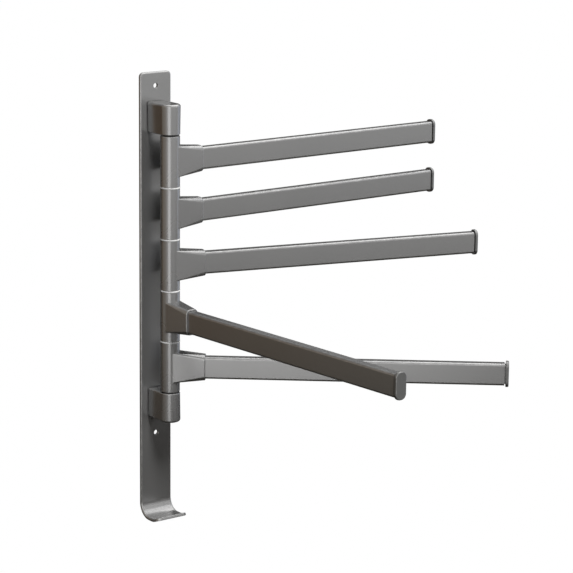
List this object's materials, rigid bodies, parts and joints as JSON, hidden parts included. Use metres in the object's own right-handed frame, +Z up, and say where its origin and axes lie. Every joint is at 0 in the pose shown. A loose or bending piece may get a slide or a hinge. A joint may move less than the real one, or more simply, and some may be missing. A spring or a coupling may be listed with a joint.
{
  "type": "swing arm towel bar",
  "caption": "Wall-mounted towel bar: flat arms swing from side to side on a common vertical post, on a back plate that ends in a hook.",
  "frame": {"origin": "on the back face of the plate, midway between the two wall screw holes", "axes": "+X to the right along the wall, +Y into the wall, +Z up"},
  "size_m": [0.3653, 0.3748, 0.4664],
  "materials": {
    "plate": "satin gunmetal",
    "bracket": "satin gunmetal",
    "hub": "satin gunmetal",
    "arm": "satin gunmetal",
    "end_cap": "satin gunmetal",
    "light_washer": "plain off-white",
    "thrust_washer": "plain black",
    "rod_steel": "turned",
    "screw_steel": "zinc plated"
  },
  "bodies": {
    "wall_frame": {"back_plate": "plate", "top_bracket": "bracket", "bottom_bracket": "bracket", "pivot_rod": "rod_steel", "bracket_screws": "screw_steel", "top_thrust_washer": "thrust_washer", "bottom_thrust_washer": "thrust_washer", "washer_1": "light_washer", "washer_2": "light_washer", "washer_3": "light_washer", "washer_4": "light_washer"},
    "swing_arm_1": {"hub_1": "hub", "arm_1": "arm", "end_cap_1": "end_cap", "set_screw_1": "screw_steel"},
    "swing_arm_2": {"hub_2": "hub", "arm_2": "arm", "end_cap_2": "end_cap", "set_screw_2": "screw_steel"},
    "swing_arm_3": {"hub_3": "hub", "arm_3": "arm", "end_cap_3": "end_cap", "set_screw_3": "screw_steel"},
    "swing_arm_4": {"hub_4": "hub", "arm_4": "arm", "end_cap_4": "end_cap", "set_screw_4": "screw_steel"},
    "swing_arm_5": {"hub_5": "hub", "arm_5": "arm", "end_cap_5": "end_cap", "set_screw_5": "screw_steel"}
  },
  "joints": [
    {"name": "arm_1_swing", "type": "hinge", "parent": "wall_frame", "child": "swing_arm_1", "pos_m": [0, -0.0285, 0.1082], "axis": [0, 0, 1], "range_deg": [-180, 0]},
    {"name": "arm_2_swing", "type": "hinge", "parent": "wall_frame", "child": "swing_arm_2", "pos_m": [0, -0.0285, 0.0549], "axis": [0, 0, 1], "range_deg": [-180, 0]},
    {"name": "arm_3_swing", "type": "hinge", "parent": "wall_frame", "child": "swing_arm_3", "pos_m": [0, -0.0285, 0.0016], "axis": [0, 0, 1], "range_deg": [-165, 15]},
    {"name": "arm_4_swing", "type": "hinge", "parent": "wall_frame", "child": "swing_arm_4", "pos_m": [0, -0.0285, -0.0517], "axis": [0, 0, 1], "range_deg": [-93, 87]},
    {"name": "arm_5_swing", "type": "hinge", "parent": "wall_frame", "child": "swing_arm_5", "pos_m": [0, -0.0285, -0.105], "axis": [0, 0, 1], "range_deg": [-140, 40]}
  ]
}
